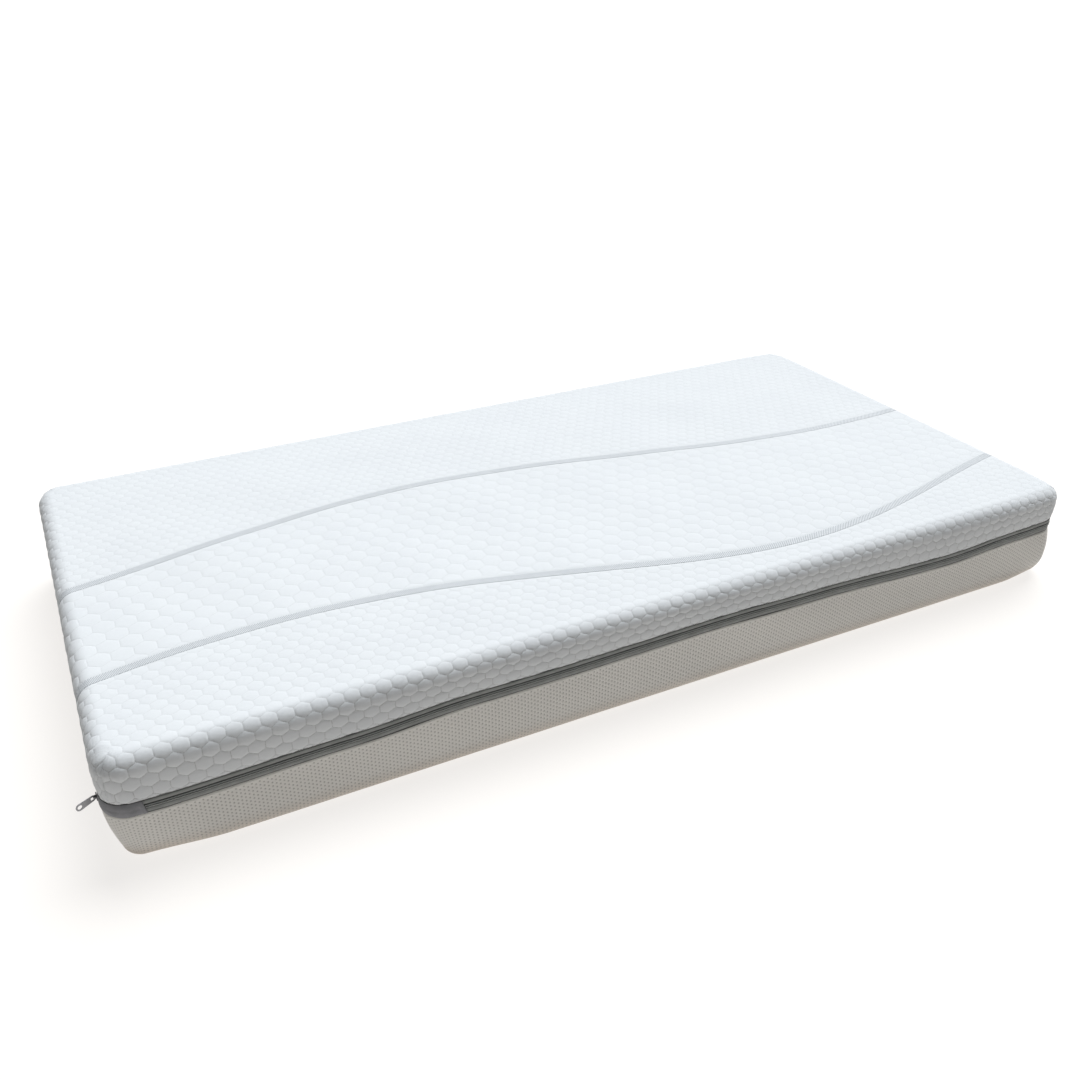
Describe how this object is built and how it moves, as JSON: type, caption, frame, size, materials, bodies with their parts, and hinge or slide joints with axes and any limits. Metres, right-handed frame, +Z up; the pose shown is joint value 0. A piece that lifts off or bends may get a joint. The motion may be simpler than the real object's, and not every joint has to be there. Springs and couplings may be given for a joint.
{
  "type": "pressure relief mattress",
  "caption": "Rectangular foam mattress with a quilted hexagon knit top cover, a spacer-mesh lower cover, an all-round zip, and a layered pressure-relief core of cut foam inside.",
  "frame": {"origin": "centre of the flat underside, at the height of what the mattress lies on", "axes": "+X along the length towards the foot end, +Y across the width, +Z up towards the sleeping surface; the zip closes on the -X end, near the -Y side"},
  "size_m": [2.034, 1.0016, 0.211],
  "materials": {
    "firm_foam": "matte",
    "bolster_foam": "matte",
    "support_foam": "matte",
    "relief_foam": "matte",
    "heel_foam": "matte",
    "spacer_mesh": "matte",
    "base_cloth": "matte",
    "zip_tape": "matte",
    "zip_coil": "satin",
    "zip_stop": "satin",
    "end_tab_cloth": "matte",
    "knit_cloth": "matte",
    "wadding": "matte",
    "backing_cloth": "matte",
    "slider_metal": "satin",
    "pull_metal": "satin"
  },
  "bodies": {
    "mattress": {"base_foam": "firm_foam", "front_bolster": "bolster_foam", "rear_bolster": "bolster_foam", "support_core": "support_foam", "pressure_layer": "relief_foam", "heel_insert": "heel_foam", "lower_cover_mesh": "spacer_mesh", "underside_panel": "base_cloth", "lower_zip_tape": "zip_tape", "lower_zip_coil": "zip_coil", "lower_zip_stop": "zip_stop", "zip_end_tab": "end_tab_cloth"},
    "top_cover": {"cover_knit": "knit_cloth", "cover_wadding": "wadding", "cover_backing": "backing_cloth", "upper_zip_tape": "zip_tape", "upper_zip_coil": "zip_coil", "upper_zip_stop": "zip_stop"},
    "zip_slider": {"zip_slider": "slider_metal", "slider_crown": "slider_metal"},
    "pull_tab": {"pull_tab": "pull_metal"}
  },
  "joints": [
    {"name": "cover_lift", "type": "slide", "parent": "mattress", "child": "top_cover", "axis": [0, 0, 1], "range_m": [0, 0.25]},
    {"name": "slider_run", "type": "slide", "parent": "mattress", "child": "zip_slider", "axis": [0, 1, 0], "range_m": [0, 0.8893]},
    {"name": "pull_swing", "type": "hinge", "parent": "zip_slider", "child": "pull_tab", "pos_m": [-1.00415, -0.44565, 0.117], "axis": [0, 0, 1], "range_deg": [-109, 61]}
  ]
}
